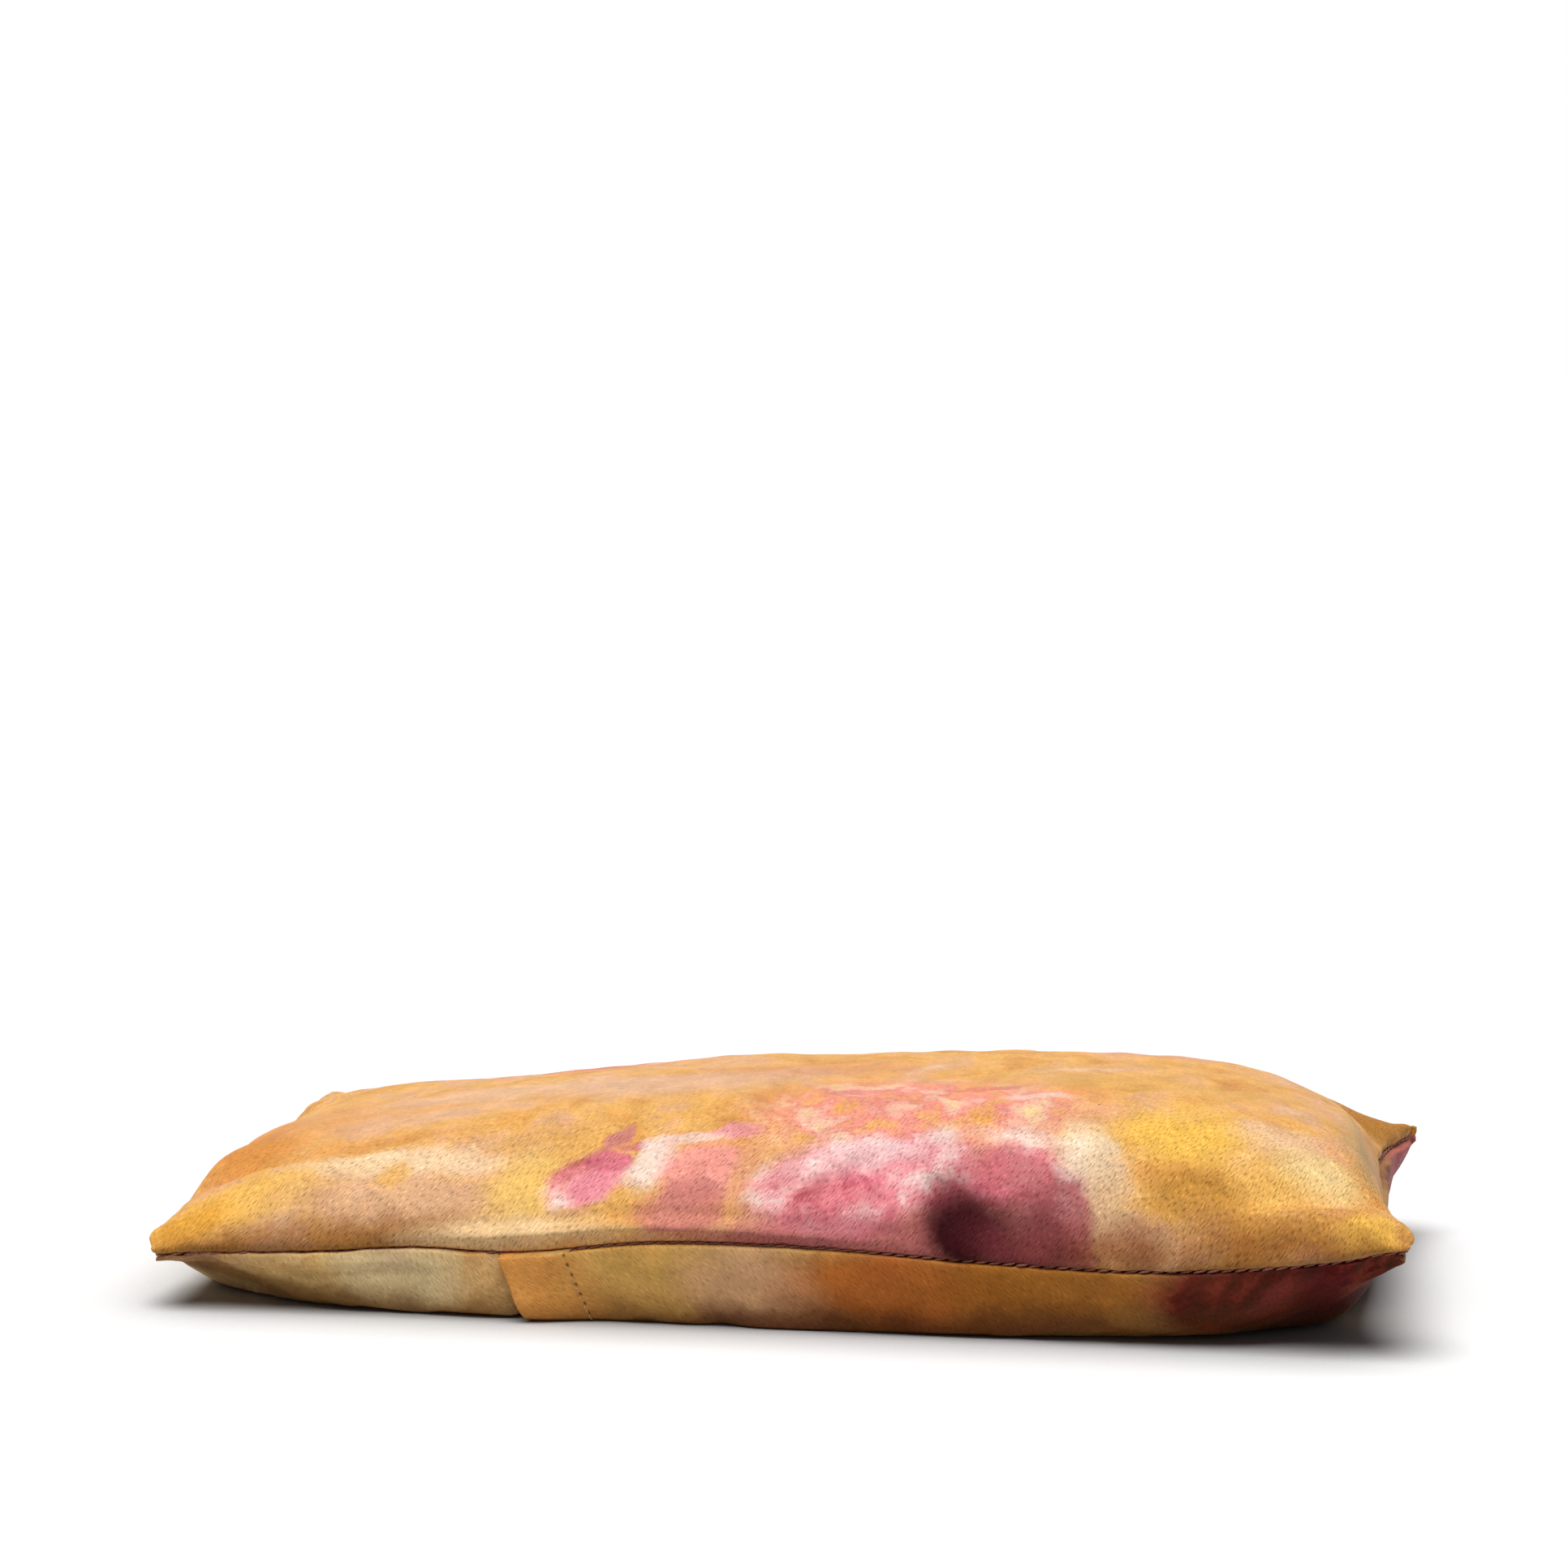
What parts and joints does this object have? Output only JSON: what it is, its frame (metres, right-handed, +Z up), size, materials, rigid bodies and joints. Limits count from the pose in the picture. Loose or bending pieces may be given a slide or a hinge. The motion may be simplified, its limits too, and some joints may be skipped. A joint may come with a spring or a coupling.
{
  "type": "eye pillow",
  "caption": "Soft rectangular eye pillow: a hand-dyed silk cover with an overlapping envelope back over a seed-filled muslin insert, laid over closed eyes.",
  "frame": {"origin": "centre of the box of the object at the height of the surface that it rests on", "axes": "+X along the length of the pillow towards its plumper end, +Y away from the viewer of the picture, +Z up"},
  "size_m": [0.227, 0.11, 0.0408],
  "materials": {
    "silk_top": "hand-dyed silk with a soft sheen, gold with rose and plum clouds",
    "silk_left_back": "hand-dyed silk with a soft sheen, pale khaki",
    "silk_right_back": "hand-dyed silk with a soft sheen, ochre running to maroon",
    "cover_thread": "spun polyester sewing thread, red-brown",
    "hem_thread": "spun polyester sewing thread, golden tan",
    "muslin": "unbleached plain-weave cotton muslin",
    "insert_thread": "cotton sewing thread, natural",
    "flax_seed": "loose brown flax seed with dried lavender"
  },
  "bodies": {
    "root": {"top_panel": "silk_top", "back_panel_underlap": "silk_left_back", "back_panel_overlap": "silk_right_back", "cover_seam_thread": "cover_thread", "overlap_hem_thread": "hem_thread", "underlap_hem_thread": "hem_thread", "insert_top_panel": "muslin", "insert_bottom_panel": "muslin", "insert_seam_thread": "insert_thread", "insert_closing_thread": "insert_thread", "flax_seed_fill": "flax_seed"}
  },
  "joints": []
}
